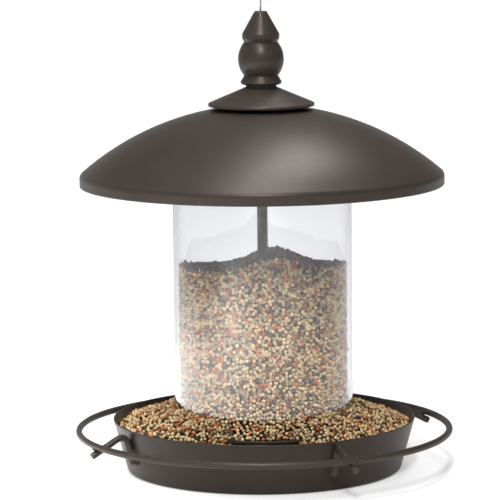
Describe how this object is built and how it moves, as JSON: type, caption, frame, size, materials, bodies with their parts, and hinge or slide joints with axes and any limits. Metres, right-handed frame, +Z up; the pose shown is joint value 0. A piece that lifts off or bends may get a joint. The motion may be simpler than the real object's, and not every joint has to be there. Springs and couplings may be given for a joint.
{
  "type": "hanging seed feeder",
  "caption": "Hanging gravity seed feeder: domed metal roof with cone cap and screw finial over a clear tube that empties into a round tray with a wire perch ring.",
  "frame": {"origin": "centre of the tray's flat underside", "axes": "+Z up along the rod and the hanging cable, -Y to the front where the feed is eaten away, +X to the right"},
  "size_m": [0.2608, 0.2608, 0.3995],
  "materials": {
    "bronze_metal": "satin powder coat, dark bronze",
    "fastener_steel": "dull zinc plate",
    "cable_steel": "stranded steel",
    "clear_plastic": "clear, polished",
    "black_rubber": "matt",
    "mixed_seed": "loose millet, sorghum and sunflower seed"
  },
  "bodies": {
    "feeder_base": {"tray_pan": "bronze_metal", "perch_ring": "bronze_metal", "perch_bracket_right": "bronze_metal", "perch_bracket_back": "bronze_metal", "perch_bracket_left": "bronze_metal", "perch_bracket_front": "bronze_metal", "tube_seat": "bronze_metal", "seat_legs": "bronze_metal", "center_rod": "bronze_metal", "rod_washer": "fastener_steel", "rod_nut": "fastener_steel", "rod_lock_nut": "fastener_steel", "cable_anchor": "cable_steel", "hanging_cable": "cable_steel", "cable_eye": "cable_steel", "seed_column": "mixed_seed", "seed_heap": "mixed_seed"},
    "tube": {"seed_tube": "clear_plastic"},
    "roof": {"roof_dome": "bronze_metal", "roof_collar": "bronze_metal", "roof_cap": "bronze_metal", "cap_spacer": "fastener_steel"},
    "gasket": {"finial_gasket": "black_rubber"},
    "finial": {"finial": "bronze_metal"}
  },
  "joints": [
    {"name": "tube_lift", "type": "slide", "parent": "feeder_base", "child": "tube", "axis": [0, 0, 1], "range_m": [0, 0.014]},
    {"name": "roof_lift", "type": "slide", "parent": "tube", "child": "roof", "axis": [0, 0, 1], "range_m": [0, 0.03]},
    {"name": "finial_rise", "type": "slide", "parent": "roof", "child": "gasket", "axis": [0, 0, 1], "range_m": [0, 0.0101]},
    {"name": "finial_turn", "type": "hinge", "parent": "gasket", "child": "finial", "pos_m": [0, 0, 0.29], "axis": [0, 0, 1], "range_deg": [0, 2880]}
  ],
  "couplings": [
    {"joint": "finial_rise", "follows": "finial_turn", "m_per_rad": 0.00019894}
  ]
}
